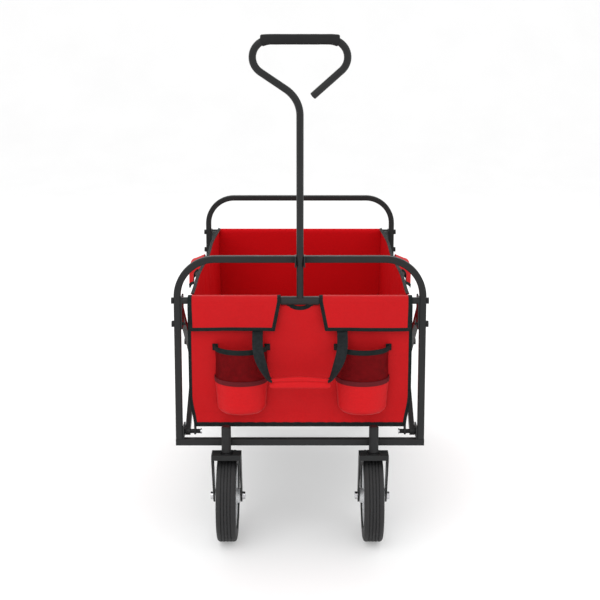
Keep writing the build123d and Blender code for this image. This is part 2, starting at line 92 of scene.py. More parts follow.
def area_light(name, place, target, size, energy):
    light = bpy.data.lights.new(name, "AREA")
    light.size = size
    light.energy = energy
    lamp = bpy.data.objects.new(name, light)
    lamp.location = place
    lamp.rotation_euler = (Vector(target) - Vector(place)).to_track_quat("-Z", "Y").to_euler()
    bpy.context.scene.collection.objects.link(lamp)


area_light("key_light", (-1.3, -2.4, 2.6), (0, 0, 0.4), 2.4, 32)
area_light("fill_light", (2.4, -2.0, 1.6), (0, 0, 0.4), 2.2, 14)
area_light("top_light", (0, 1.7, 3.0), (0, 0, 0.3), 2.6, 40)

world = bpy.data.worlds.new("studio")
bpy.context.scene.world = world
world.use_nodes = True
world.node_tree.nodes["Background"].inputs["Color"].default_value = (1, 1, 1, 1)
world.node_tree.nodes["Background"].inputs["Strength"].default_value = 1.0


# Materials ----------------------------------------------------------------------------------------

class Shader:
    """A material with a Principled shader and short ways to add nodes."""

    def __init__(self, name):
        self.material = bpy.data.materials.new(name)
        self.material.use_nodes = True
        self.tree = self.material.node_tree
        self.surface = self.tree.nodes["Principled BSDF"]
        self.place = self.node("ShaderNodeTexCoord").outputs["Object"]

    def node(self, kind, **settings):
        made = self.tree.nodes.new(kind)
        for key, value in settings.items():
            setattr(made, key, value)
        return made

    def link(self, source, target):
        self.tree.links.new(source, target)

    def noise(self, scale, detail=3.0, stretch=None):
        """Noise, as a value about 0.5; stretch scales it differently along X, Y and Z."""
        made = self.node("ShaderNodeTexNoise")
        made.inputs["Scale"].default_value = scale
        made.inputs["Detail"].default_value = detail
        where = self.place
        if stretch:
            mapping = self.node("ShaderNodeMapping")
            mapping.inputs["Scale"].default_value = stretch
            self.link(self.place, mapping.inputs["Vector"])
            where = mapping.outputs["Vector"]
        self.link(where, made.inputs["Vector"])
        return made.outputs["Fac"]

    def bands(self, direction, pitch):
        """A wave along one axis, with that many metres from crest to crest."""
        made = self.node("ShaderNodeTexWave", bands_direction=direction)
        made.inputs["Scale"].default_value = 2 * pi / (20 * pitch)
        self.link(self.place, made.inputs["Vector"])
        return made.outputs["Fac"]

    def math(self, operation, first, second):
        made = self.node("ShaderNodeMath", operation=operation)
        for socket, value in zip(made.inputs, (first, second)):
            if isinstance(value, (int, float)):
                socket.default_value = value
            else:
                self.link(value, socket)
        return made.outputs["Value"]

    def ramp(self, value, low, high):
        """Colour from low to high over the middle of the value's range."""
        made = self.node("ShaderNodeValToRGB")
        made.color_ramp.elements[0].position = 0.3
        made.color_ramp.elements[1].position = 0.7
        made.color_ramp.elements[0].color = (*low, 1)
        made.color_ramp.elements[1].color = (*high, 1)
        self.link(value, made.inputs["Fac"])
        return made.outputs["Color"]

    def span(self, value, low, high):
        made = self.node("ShaderNodeMapRange")
        made.inputs["From Min"].default_value = 0.3
        made.inputs["From Max"].default_value = 0.7
        made.inputs["To Min"].default_value = low
        made.inputs["To Max"].default_value = high
        self.link(value, made.inputs["Value"])
        return made.outputs["Result"]

    def bump(self, height, distance, strength=1.0, under=None):
        made = self.node("ShaderNodeBump")
        made.inputs["Strength"].default_value = strength
        made.inputs["Distance"].default_value = distance
        self.link(height, made.inputs["Height"])
        if under is not None:
            self.link(under, made.inputs["Normal"])
        self.link(made.outputs["Normal"], self.surface.inputs["Normal"])
        return made.outputs["Normal"]

    def set(self, **values):
        for key, value in values.items():
            self.surface.inputs[key.replace("_", " ")].default_value = value


def scaled(colour, factor):
    return tuple(min(1.0, channel * factor) for channel in colour)


def powder_coat(name, colour, grain=1400, rough=(0.38, 0.52), rubbed=1.8):
    """Powder-coated steel: orange-peel grain, clouded gloss and lighter rubbed edges."""
    made = Shader(name)
    cloud = made.noise(14, 4)
    base = made.ramp(cloud, scaled(colour, 0.88), scaled(colour, 1.12))
    edge = made.node("ShaderNodeNewGeometry").outputs["Pointiness"]
    worn = made.math("MULTIPLY", made.math("GREATER_THAN", edge, 0.56), made.noise(90, 5))
    mix = made.node("ShaderNodeMixRGB")
    made.link(made.math("MULTIPLY", worn, 0.5), mix.inputs["Fac"])
    made.link(base, mix.inputs["Color1"])
    mix.inputs["Color2"].default_value = (*scaled(colour, rubbed), 1)
    made.link(mix.outputs["Color"], made.surface.inputs["Base Color"])
    made.link(made.span(made.noise(60, 4), *rough), made.surface.inputs["Roughness"])
    made.bump(made.noise(grain, 2), 0.00012, 0.6)
    made.set(Specular_IOR_Level=0.22)
    return made.material


def woven(name, colour, pitch=0.0011, contrast=0.07, rough=0.62, sheen=0.03, specular=0.12):
    """Plain-weave cloth: a thread grid, slubs, gentle rumples and uneven dye."""
    made = Shader(name)
    grid = made.math("ADD", made.math("ADD", made.bands("X", pitch), made.bands("Y", pitch)),
                     made.bands("Z", pitch))
    cloud = made.math("MULTIPLY", made.math("ADD", made.noise(7, 3), made.noise(260, 2)), 0.5)
    low, high = scaled(colour, 1 - contrast), scaled(colour, 1 + contrast)
    made.link(made.ramp(cloud, low, high), made.surface.inputs["Base Color"])
    made.link(made.span(made.noise(35, 3), rough - 0.06, rough + 0.06),
              made.surface.inputs["Roughness"])
    soft = made.bump(made.noise(22, 2), 0.0006, 0.8)
    made.bump(grid, 0.00008, 0.4, under=soft)
    made.set(Sheen_Weight=sheen, Sheen_Roughness=0.45, Specular_IOR_Level=specular)
    return made.material


def webbing(name, colour, rib=0.0018):
    """Narrow-woven tape: close ribs across its thread grid, with a dull nap."""
    made = Shader(name)
    ribs = made.math("ADD", made.bands("DIAGONAL", rib), made.bands("Z", rib * 0.6))
    made.link(made.ramp(made.noise(180, 3), scaled(colour, 0.8), scaled(colour, 1.3)),
              made.surface.inputs["Base Color"])
    made.link(made.span(made.noise(70, 3), 0.6, 0.8), made.surface.inputs["Roughness"])
    made.bump(ribs, 0.00022, 0.7)
    made.set(Sheen_Weight=0.015, Sheen_Roughness=0.5, Specular_IOR_Level=0.08)
    return made.material


def netting(name, colour, pitch=0.0021):
    """Pocket mesh: a grid of fine cords with holes between them."""
    made = Shader(name)
    holes = made.math("MULTIPLY", made.bands("X", pitch), made.bands("Z", pitch))
    solid = made.math("LESS_THAN", holes, 0.60)
    made.link(made.ramp(made.noise(120, 3), scaled(colour, 0.8), scaled(colour, 1.2)),
              made.surface.inputs["Base Color"])
    made.link(solid, made.surface.inputs["Alpha"])
    made.link(made.span(made.noise(50, 3), 0.6, 0.75), made.surface.inputs["Roughness"])
    made.bump(holes, 0.0002, 0.5)
    made.set(Specular_IOR_Level=0.05)
    return made.material


def moulded(name, colour, rough=0.5, grain=700, depth=0.00008, specular=0.3):
    """Moulded plastic or foam: fine texture, faint clouding and scuffs."""
    made = Shader(name)
    made.link(made.ramp(made.noise(20, 4), scaled(colour, 0.93), scaled(colour, 1.07)),
              made.surface.inputs["Base Color"])
    scuffs = made.noise(45, 6, stretch=(1, 1, 6))
    made.link(made.span(scuffs, rough - 0.07, rough + 0.08), made.surface.inputs["Roughness"])
    made.bump(made.noise(grain, 2), depth, 0.7)
    made.set(Specular_IOR_Level=specular)
    return made.material


def plated(name, colour):
    """Bright plated steel with turning marks."""
    made = Shader(name)
    made.link(made.ramp(made.noise(40, 4), scaled(colour, 0.93), colour),
              made.surface.inputs["Base Color"])
    made.link(made.span(made.noise(160, 3, stretch=(8, 1, 1)), 0.16, 0.3),
              made.surface.inputs["Roughness"])
    made.bump(made.noise(500, 2, stretch=(10, 1, 1)), 0.00003, 0.5)
    made.set(Metallic=1.0)
    return made.material


RED = (0.46, 0.0050, 0.0075)
DARK = (0.0125, 0.0130, 0.0132)
mat_frame = powder_coat("frame_paint", DARK)
mat_link = powder_coat("link_paint", scaled(DARK, 0.9), rough=(0.33, 0.46))
mat_bolt = powder_coat("bolt_black", (0.006, 0.006, 0.0065), rough=(0.35, 0.5), rubbed=2.5)
mat_socket = powder_coat("socket_coat", (0.014, 0.014, 0.0145), grain=420, rough=(0.5, 0.7))
mat_chrome = plated("bright_metal", (0.62, 0.62, 0.64))
mat_plastic = moulded("black_plastic", (0.014, 0.015, 0.0155), 0.42, specular=0.2)
mat_foam = moulded("grip_foam", (0.020, 0.020, 0.0205), 0.85, grain=420, depth=0.00025, specular=0.06)
mat_tyre = moulded("tyre_black", (0.026, 0.026, 0.0268), 0.62, grain=520, depth=0.00015, specular=0.2)
mat_rim = moulded("rim_grey", (0.62, 0.63, 0.64), 0.42)
mat_red = woven("red_polyester", RED)
# The basket's inside: the same red cloth, painted ten percent lighter as painted light for the light that
# falls into the basket
mat_red_painted_lit = woven("red_cloth_painted_lit", scaled(RED, 1.10), contrast=0.06, sheen=0.0, specular=0.015)
# A black sheet under the floor, put there as painted shade: it darkens the shade under the wagon and cuts
# red light bounced onto the studio floor
mat_shade_underlay = woven("black_shade_underlay", (0.012, 0.012, 0.013), contrast=0.15, rough=0.7)
mat_cup = woven("red_cup", scaled(RED, 1.12), sheen=0.05, rough=0.5)
mat_pad = woven("red_pad", scaled(RED, 1.16), sheen=0.06, rough=0.5)
mat_band = woven("maroon_band", (0.10, 0.006, 0.009), contrast=0.2)
mat_net = netting("maroon_net", (0.125, 0.0025, 0.004))
mat_tape = webbing("black_binding", (0.0085, 0.0125, 0.0125))
mat_strap = webbing("black_webbing", (0.013, 0.016, 0.017), rib=0.0026)
mat_thread = moulded("black_thread", (0.03, 0.03, 0.03), 0.6)
mat_thread_red = moulded("red_thread", scaled(RED, 0.45), 0.6)

for material, nodes in (
    (mat_frame, (
        "front_arch", "front_bottom_bar", "front_cross_tube", "front_leg_brackets", "front_floor_tube",
        "rear_arch", "rear_bottom_bar", "rear_cross_tube", "rear_leg_brackets", "rear_floor_tube",
        "rear_forks", "caster_fork_left", "caster_fork_right", "handle_tube", "handle_sleeve",
        "middle_cross_tube",
    )),
    (mat_link, (
        "front_rising_bars", "front_falling_bars", "rear_falling_bars", "rear_rising_bars",
    )),
    (mat_bolt, (
        "front_frame_bolts", "rear_frame_bolts", "front_pivot_shafts", "rear_pivot_shafts",
        "front_crossing_bolts", "rear_crossing_bolts", "top_joint_bolts", "front_saddle_pins",
        "rear_saddle_pins", "caster_stem_left", "caster_stem_right",
    )),
    (mat_socket, ("caster_sockets",)),
    (mat_chrome, ("shaft_caps", "caster_axle_left", "caster_axle_right", "rear_axles")),
    (mat_plastic, ("handle_clip", "handle_end_plug", "socket_caps")),
    (mat_foam, ("handle_grip",)),
    (mat_tyre, [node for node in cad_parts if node.endswith("_tyre")]),
    (mat_rim, [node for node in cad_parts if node.endswith("_wheel_rim")]),
):
    for node in nodes:
        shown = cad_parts[node]
        shown.data.materials.clear()
        shown.data.materials.append(material)


# Mesh making --------------------------------------------------------------------------------------

class Maker:
    """Gathers grids, tubes and stitches into one mesh."""

    def __init__(self):
        self.points, self.faces, self.slots = [], [], []

    def add(self, points, faces, slot=0):
        start = len(self.points)
        self.points += [tuple(p) for p in points]
        self.faces += [[start + k for k in face] for face in faces]
        self.slots += [slot] * len(faces)

    def grid(self, point, nu, nv, slot=0):
        points = [point(i / nu, j / nv) for j in range(nv + 1) for i in range(nu + 1)]
        row = nu + 1
        faces = [
            (j * row + i, j * row + i + 1, (j + 1) * row + i + 1, (j + 1) * row + i)
            for j in range(nv) for i in range(nu)
        ]
        self.add(points, faces, slot)

    def rings(self, rings, slot=0):
        """A capped tube through rings of equally many points."""
        count = len(rings[0])
        points = [p for ring in rings for p in ring]
        faces = [
            (k * count + i, k * count + (i + 1) % count, (k + 1) * count + (i + 1) % count,
             (k + 1) * count + i)
            for k in range(len(rings) - 1) for i in range(count)
        ]
        faces.append(list(range(count - 1, -1, -1)))
        faces.append([(len(rings) - 1) * count + i for i in range(count)])
        self.add(points, faces, slot)

    def strip(self, frames, width, thick, slot=0, sides=12, squareness=0.35):
        """A flat tape through (centre, across, normal) frames, with rounded edges."""
        rings = []
        for centre, across, normal in frames:
            ring = []
            for k in range(sides):
                turn = 2 * pi * (k + 0.5) / sides
                c, s = cos(turn), sin(turn)
                flat = abs(c) ** squareness * (1 if c > 0 else -1) * width / 2
                up = abs(s) ** 0.6 * (1 if s > 0 else -1) * thick / 2
                ring.append(centre + across * flat + normal * up)
            rings.append(ring)
        self.rings(rings, slot)

    def stitch(self, centre, along, normal, length, radius, slot):
        """One thread dash: a short double pyramid sunk half into the cloth."""
        side = along.cross(normal).normalized() * radius
        up = normal.normalized() * radius
        ends = (centre - along * (length / 2), centre + along * (length / 2))
        belt = [centre + side, centre + up, centre - side, centre - up]
        points = [ends[0], *belt, ends[1]]
        faces = []
        for k in range(4):
            a, b = 1 + k, 1 + (k + 1) % 4
            faces += [(0, b, a), (5, a, b)]
        self.add(points, faces, slot)

    def make(self, name, materials, thick=0.0, levels=0):
        mesh = bpy.data.meshes.new(name)
        mesh.from_pydata(self.points, [], self.faces)
        for material in materials:
            mesh.materials.append(material)
        mesh.polygons.foreach_set("material_index", self.slots)
        mesh.polygons.foreach_set("use_smooth", [True] * len(mesh.polygons))
        made = bpy.data.objects.new(name, mesh)
        bpy.context.scene.collection.objects.link(made)
        if thick:
            solid = made.modifiers.new("thickness", "SOLIDIFY")
            solid.thickness = thick
            solid.offset = 0
        if levels:
            smooth = made.modifiers.new("smooth", "SUBSURF")
            smooth.levels = smooth.render_levels = levels
        return made


def unit(vector):
    return vector.normalized() if vector.length > 1e-12 else Vector((0, 0, 1))


def edge_frames(point, edge, count, start, stop, inset):
    """(centre, inward, normal, along) down one edge of a sheet: u0, u1, v0 or v1."""
    frames = []
    tiny = 0.004
    for k in range(count + 1):
        t = start + (stop - start) * k / count
        inward_step = -tiny if edge[1] == "1" else tiny
        fixed = 1.0 if edge[1] == "1" else 0.0
        if edge[0] == "v":
            here, inner = point(t, fixed), point(t, fixed + inward_step)
            ahead, behind = point(min(1, t + tiny), fixed), point(max(0, t - tiny), fixed)
        else:
            here, inner = point(fixed, t), point(fixed + inward_step, t)
            ahead, behind = point(fixed, min(1, t + tiny)), point(fixed, max(0, t - tiny))
        along = unit(ahead - behind)
        inward = inner - here
        inward = unit(inward - along * inward.dot(along))
        frames.append((here + inward * inset, inward, unit(along.cross(inward)), along))
    return frames


def spaced(points, pitch):
    """(index, share) of places a pitch apart along a list of points."""
    travelled, due = 0.0, pitch
    for k, (a, b) in enumerate(zip(points, points[1:])):
        length = (b - a).length
        while travelled + length >= due:
            yield k, (due - travelled) / max(length, 1e-9)
            due += pitch
        travelled += length


def bind(maker, point, edge, count, start=0.0, stop=1.0, width=TAPE, proud=0.0008):
    """Binding tape folded over a sheet's edge, sewn through near its inner side."""
    frames = edge_frames(point, edge, count, start, stop, width / 2 - proud)
    maker.strip([f[:3] for f in frames], width, TAPE_THICK)
    centres = [f[0] for f in frames]
    for k, share in spaced(centres, STITCH_PITCH):
        _, inward, normal, along = frames[k]
        centre = centres[k].lerp(centres[k + 1], share) + inward * (width / 2 - 0.0013)
        for face in (1, -1):
            raised = centre + normal * (face * TAPE_THICK * 0.46)
            maker.stitch(raised, along, normal, STITCH_LENGTH, 0.00035, 1)


def seam(maker, path, normal, pitch=STITCH_PITCH, slot=1):
    """A row of stitches along a list of points on a sheet."""
    for k, share in spaced(path, pitch):
        along = unit(path[k + 1] - path[k])
        maker.stitch(path[k].lerp(path[k + 1], share), along, normal, STITCH_LENGTH, 0.0004, slot)


def sizes(point, nu=40, nv=20):
    """(longest width, longest length, area) of a sheet's flat cut, measured on its surface."""
    rows = [[point(i / nu, j / nv) for i in range(nu + 1)] for j in range(nv + 1)]
    width = max(sum((b - a).length for a, b in zip(row, row[1:])) for row in rows)
    columns = list(zip(*rows))
    length = max(sum((b - a).length for a, b in zip(col, col[1:])) for col in columns)
    area = 0.0
    for lower, upper in zip(rows, rows[1:]):
        for i in range(nu):
            area += (lower[i + 1] - lower[i]).cross(upper[i] - lower[i]).length / 2
            area += (upper[i + 1] - upper[i]).cross(upper[i + 1] - lower[i + 1]).length / 2
    return width, length, area


def rumple(x, y, z, scale, seed):
    """Smooth noise from -1 to 1, the same at every run."""
    return noise.noise(Vector((x * scale + seed, y * scale + 3.1 * seed, z * scale - seed)))


def smooth_step(x):
    x = max(0.0, min(1.0, x))
    return x * x * (3 - 2 * x)


def carry(piece, body, slot):
    """Make a piece ride on a body. The slot is not used."""
    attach(piece, body)


def declare(piece, point, body, nodes):
    """Measure one sheet of cloth, hide the nodes it stands for, and attach it to its body if one is
    given.
    """
    width, length, area = sizes(point)
    area = round(min(area, width * length), 5) - 1e-5       # rounded, it mustn't pass width x length
    if nodes:
        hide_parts(*nodes)
    if body:
        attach(piece, body)


# End panels ---------------------------------------------------------------------------------------

HEM_R = TUBE_R + 0.0014                         # the cloth's radius where it wraps a cross tube
PANEL_TOP = CROSS_Z - TUBE_R - 0.0012           # the front panel ends here, under its hem
EDGE_HALF, FOOT_HALF = 0.2262, 0.2168           # the panels' half width above and at the foot
HEM_HALF = 0.2186                               # and where the rear one wraps its tube
WRAP = 0.86                                     # the v at which the rear cloth reaches its tube
DIP_HALF, DIP_DEPTH = 0.0225, 0.0085            # the dip in the front panel's top, for the sleeve
SLEEVE_HALF = 0.0395                            # the hem leaves this much free for the sleeve


def panel_edge(v):
    """Half width of an end panel, which is narrower at its foot."""
    return FOOT_HALF + (EDGE_HALF - FOOT_HALF) * smooth_step(0.1 + 3.6 * v)


def panel_lean(z):
    """How far up an end panel a height is, from 0 at the floor to 1 at the hem."""
    return (z - FLOOR_Z) / (PANEL_TOP - FLOOR_Z)


def panel_slack(x, z, v, side, plane_y):
    """How far an end panel's cloth stands outward: a billow, rumples, and puckers at its foot."""
    edge = 1 - side**4
    calm = sin(pi * min(1, max(0, v))) * edge
    puckers = 0.0010 * sin(x * 260) * smooth_step(1 - v * 9) * edge
    return 0.0018 * calm + 0.0011 * rumple(x, 0, z, 11, 2.0 + plane_y) * calm + puckers


def front_point(u, v):
    """Front panel: u across from -X to +X, v up from the foot to the hem."""
    side = 2 * u - 1
    x = side * panel_edge(v)
    near = max(0.0, 1 - (abs(x) / DIP_HALF) ** 2)
    top = PANEL_TOP - DIP_DEPTH * near**0.8 * smooth_step(near * 3)
    foot = FLOOR_Z - 0.0065
    z = foot + v * (top - foot)
    kick = 0.0022 * smooth_step((0.10 - v) / 0.08)
    y = FRONT + LEAN_IN * (1 - panel_lean(z)) - kick
    return Vector((x, y - panel_slack(x, z, v, side, FRONT), z))


def rear_point(u, v):
    """Rear panel: u across, v up from the foot and then on over its tube."""
    side = 2 * u - 1
    if v > WRAP:
        turn = 1.25 * pi * (v - WRAP) / (1 - WRAP)
        hanging = max(0.0, turn - pi) * 0.016
        turn = min(turn, pi)
        return Vector((side * HEM_HALF, REAR - HEM_R * cos(turn), CROSS_Z + HEM_R * sin(turn) - hanging))
    v = v / WRAP
    x = side * (panel_edge(v) + (HEM_HALF - EDGE_HALF) * smooth_step((v - 0.85) / 0.15))
    foot = FLOOR_Z - 0.001
    z = foot + v * (CROSS_Z - foot)
    share = panel_lean(z)
    y = REAR - LEAN_IN * (1 - share) - HEM_R * share
    return Vector((x, y + panel_slack(x, z, v, side, REAR), z))


def hem_point(side):
    """The front hem on one side of the sleeve: u along the cross tube, v round it."""
    def point(u, v):
        turn = radians(-75 + 330 * v)
        low, high = sorted((side * SLEEVE_HALF, side * 0.2185))
        x = low + (high - low) * u
        r = HEM_R + 0.0003 * rumple(x, v, 0, 30, 5)
        return Vector((x, FRONT + r * sin(turn), CROSS_Z - r * cos(turn)))
    return point


def front_hem():
    """The front panel's hem, wrapped round the cross tube either side of the sleeve."""
    maker = Maker()
    for side, _ in SIDES:
        maker.grid(hem_point(side), 30, 22)
    made = maker.make("front_hem", [mat_red], thick=0.0010)
    carry(made, "front_frame", "red_fabric")
    return made


def end_panel(label, point, hems):
    """An end panel with its bound edges, and the front one's dip, whose binding is widened partly into
    painted shade.
    """
    is_front = label == "front"
    cloth = Maker()
    cloth.grid(point, 96, 56)
    sheet = cloth.make(f"{label}_panel_cloth", [mat_red if is_front else mat_red_painted_lit], thick=CLOTH_THICK)
    tapes = Maker()
    for edge in ("u0", "u1"):
        bind(tapes, point, edge, 90, stop=1.0 if is_front else 0.70)
    bind(tapes, point, "v0", 60, width=TAPE if is_front else NARROW_TAPE)
    if is_front:
        # Across the dip the binding is wider and stands proud of the cloth's edge: partly the real
        # binding, partly a black band painted in as the shade seen in the gap under the sleeve
        bind(tapes, point, "v1", 40, 0.442, 0.558, width=0.0085, proud=0.0052)
    binding = tapes.make(f"{label}_panel_binding", [mat_tape, mat_thread])
    carry(binding, f"{label}_frame", "black_webbing")
    declare(sheet, point, f"{label}_frame", [f"{label}_panel"])


end_panel("front", front_point, [front_hem()])
end_panel("rear", rear_point, [])


# Front flap: two halves that hang from over the hem, either side of the handle --------------------

FLAP_R = HEM_R + 0.0022
FLAP_ARC = radians(150)                         # from a little behind the tube's top, round to its front
FLAP_START = radians(30)                        # 0 points to +Y, and 90 degrees straight up
FLAP_DROP = CROSS_Z - FLAP_Z
FLAP_INNER, FLAP_OUTER = 0.0393, 0.2245         # a half's edges on the tube
INNER_SLANT, OUTER_SLANT = 0.0117, 0.0014       # how far they come towards each other below


def flap_point(side):
    """One half: u outward from the handle, v from behind the tube down to the lower edge."""
    def point(u, v):
        arc_length = FLAP_R * FLAP_ARC
        run = v * (arc_length + FLAP_DROP)
        if run < arc_length:
            turn = FLAP_START + run / FLAP_R
            y, z, down = FRONT + FLAP_R * cos(turn), CROSS_Z + FLAP_R * sin(turn), 0.0
        else:
            down = (run - arc_length) / FLAP_DROP
            y, z = FRONT - FLAP_R, CROSS_Z - (run - arc_length)
        inner = FLAP_INNER + INNER_SLANT * down
        outer = FLAP_OUTER - OUTER_SLANT * smooth_step(down)
        x = inner + (outer - inner) * u
        wave = 0.0008 * sin(x * 38 + side) + 0.0005 * sin(x * 91 + 2 * side)
        y -= smooth_step(down) * (0.0012 + wave + 0.0012 * rumple(x, side, z, 14, 1))
        z += down * 0.0004 * sin(x * 23 + side)
        return Vector((side * x, y, z))
    return point


def front_flap(side, label):
    """One half of the flap. The left one stands for the CAD node, which holds both."""
    point = flap_point(side)
    cloth = Maker()
    cloth.grid(point, 56, 48)
    flap = cloth.make(f"front_flap_{label}", [mat_red], thick=CLOTH_THICK)
    tapes = Maker()
    bind(tapes, point, "v1", 50, width=0.0076)
    bind(tapes, point, "u0", 50, 0.12, 1.0, width=0.0076)
    bind(tapes, point, "u1", 50, 0.12, 1.0, width=0.0084)
    binding = tapes.make(f"front_flap_binding_{label}", [mat_tape, mat_thread])
    carry(binding, "front_frame", "black_webbing")
    declare(flap, point, "front_frame",
            ["front_flap"] if label == "left" else [])


for side, label in SIDES:
    front_flap(side, label)


# Side walls and floor -----------------------------------------------------------------------------

WALL_FOOT = 0.2125                              # the walls' X at the foot, and the floor's half width
ROLL = 0.962                                    # above this v a wall's top edge rolls outward
FLOOR_START, FLOOR_SHORT = 0.0135, 0.0253       # the floor's front edge, and how much shorter it is
UNDERLAY_GAP = 0.0034                            # the black sheet of painted shade lies this far under the floor's cloth


def fold_away(piece):
    """Give a piece its own copy of its mesh."""
    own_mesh(piece)


def wall_point(side):
    """Inner surface of a side wall: u from front to rear, v from the floor to the bound top.

    The top edge bulges out between the frames and the middle joint, and rolls out a little.
    """
    def point(u, v):
        up = min(1.0, v / ROLL)
        over = max(0.0, (v - ROLL) / (1 - ROLL))
        lean = LEAN_IN * (1 - up) + 0.0008      # its ends are sewn to the end panels, inside the hems
        start = FRONT + lean + HEM_R * smooth_step((up - 0.88) / 0.06)
        end = REAR - lean - HEM_R * up
        y = start + (end - start) * u
        bulge = sin(2 * pi * u) ** 2
        x = WALL_FOOT + up * (0.0030 + 0.0035 * u + 0.0038 * bulge) + over * (0.0046 - 0.0036 * u)
        z = FLOOR_Z + 0.002 + up * (WALL_TOP - 0.0007 - FLOOR_Z)
        z += (0.0034 + 0.0014 * sin(pi * u)) * sin(over * pi / 2)
        calm = sin(pi * up) * (1 - (2 * u - 1) ** 6)
        folds = 0.5 + 0.5 * sin(y * 19 + 3.5 * v) * sin(y * 7 - 2.0)
        rumples = 0.5 + 0.5 * rumple(0, y, z, 9, side)
        x -= calm * (0.0022 * folds + 0.0016 * rumples)
        return Vector((side * x, y, z))
    return point


def side_wall(side, label):
    """A side wall with its bound top and foot, and a seam near each end."""
    point = wall_point(side)
    cloth = Maker()
    cloth.grid(point, 170, 78)
    wall = cloth.make(f"side_wall_cloth_{label}", [mat_red_painted_lit], thick=CLOTH_THICK)
    tapes = Maker()
    bind(tapes, point, "v1", 150)
    bind(tapes, point, "v0", 100, width=NARROW_TAPE)
    for share in (0.02, 0.98):
        path = [point(share, k / 40) - Vector((side * 0.0007, 0, 0)) for k in range(2, 37)]
        seam(tapes, path, Vector((1, 0, 0)))
    binding = tapes.make(f"side_wall_binding_{label}", [mat_tape, mat_thread_red])
    for piece in (wall, binding):
        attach(piece, "front_frame")
        fold_away(piece)
    declare(wall, point, None,
            [f"side_wall_{label}"])


def floor_point(u, v):
    """Basket floor: u across, v from front to rear, sagging a little over the middle.

    Its long edges turn up against the side walls, where they are sewn.
    """
    side = 2 * u - 1
    x = side * WALL_FOOT
    y = FRONT + FLOOR_START + v * (SPAN - FLOOR_SHORT)
    sag = 0.0032 * sin(pi * v) * (1 - side**4)
    z = FLOOR_Z + 0.0012 - sag + 0.0006 * rumple(x, y, 0, 12, 4) * (1 - side**8)
    z += 0.0040 * max(0.0, (abs(side) - 0.97) / 0.03) ** 2
    return Vector((x, y, z))


def shade_underlay_point(u, v):
    """A black sheet under the floor, a little smaller than it: painted shade, put there to darken the
    shade under the wagon and keep red light off the studio floor.
    """
    at = floor_point(u, v)
    return Vector((at.x * 0.994, MIDDLE + (at.y - MIDDLE) * 0.990, at.z - UNDERLAY_GAP))


def basket_floor():
    """The floor's cloth with its sewn creases, and the black sheet of painted shade under it."""
    cloth = Maker()
    cloth.grid(floor_point, 60, 110)
    floor_cloth = cloth.make("basket_floor_cloth", [mat_red_painted_lit], thick=0.0022)
    cloth = Maker()
    cloth.grid(shade_underlay_point, 60, 110)
    shade_underlay = cloth.make("basket_floor_shade_underlay", [mat_shade_underlay], thick=0.0010)
    seams = Maker()
    for share in (0.335, 0.5, 0.665):
        path = [floor_point(k / 60, share) + Vector((0, 0, 0.0012)) for k in range(2, 59)]
        seam(seams, path, Vector((0, 0, 1)), slot=0)
    floor_seams = seams.make("basket_floor_seams", [mat_thread_red])
    for piece in (floor_cloth, floor_seams, shade_underlay):
        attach(piece, "front_frame")
        fold_away(piece)
    declare(shade_underlay, shade_underlay_point, None, [])
    declare(floor_cloth, floor_point, None, ["basket_floor"])


for side, label in SIDES:
    side_wall(side, label)
basket_floor()


# Covers over the middle top joints ----------------------------------------------------------------

COVER_HALF = 0.054                              # half a cover's length
COVER_INNER, SHOULDER_R = 0.2255, 0.011         # its inner edge, and the bend to its outer side
EAVES = 0.0090                                  # how far its top slopes down to that bend
COVER_DROOP = 0.018                             # how far its ends droop


def cover_point(side):
    """A joint cover: u from front to rear, v outward over its top and down its outer side."""
    cover_low, cover_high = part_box("joint_cover_right")
    top = cover_high[2] + 0.0050

    def point(u, v):
        off = 2 * u - 1
        y = MIDDLE + COVER_HALF * off
        outer = cover_high[0] - 0.0020 - 0.0120 * smooth_step((abs(off) - 0.68) / 0.32)
        low = cover_low[2] + 0.002 + 0.014 * smooth_step((abs(off) - 0.55) / 0.45)
        slope = Vector((outer - SHOULDER_R - COVER_INNER, -EAVES))
        shoulder = SHOULDER_R * pi / 2
        side_top = top - EAVES - SHOULDER_R
        drop = side_top - low
        run = v * (slope.length + shoulder + drop)
        hang = 0.0
        if run < slope.length:
            x, z = Vector((COVER_INNER, top)) + slope * (run / slope.length)
        elif run < slope.length + shoulder:
            turn = (run - slope.length) / SHOULDER_R
            x, z = outer - SHOULDER_R + SHOULDER_R * sin(turn), side_top + SHOULDER_R * cos(turn)
        else:
            hang = (run - slope.length - shoulder) / drop
            x, z = outer, side_top - hang * drop
        droop = COVER_DROOP * off**2 * (1 - hang)
        x += hang * (0.0006 + 0.0010 * sin(y * 70 + side) * hang)
        return Vector((side * x, y, z - droop))
    return point


def joint_cover(side, label):
    point = cover_point(side)
    cloth = Maker()
    cloth.grid(point, 44, 34)
    cover = cloth.make(f"joint_cover_cloth_{label}", [mat_red], thick=CLOTH_THICK)
    tapes = Maker()
    bind(tapes, point, "v1", 44)
    bind(tapes, point, "u0", 34)
    bind(tapes, point, "u1", 34)
    binding = tapes.make(f"joint_cover_binding_{label}", [mat_tape, mat_thread])
    carry(binding, "top_joints", "black_webbing")
    declare(cover, point, "top_joints", [f"joint_cover_{label}"])


for side, label in SIDES:
    joint_cover(side, label)


# Cup pockets: solid cup, maroon band, net and elastic top -----------------------------------------

CUP_BASE = 6 / 36                               # the base's share of a cup's rows
CUP_ROUND = 0.010                               # how far up a cup's bottom edge is rounded


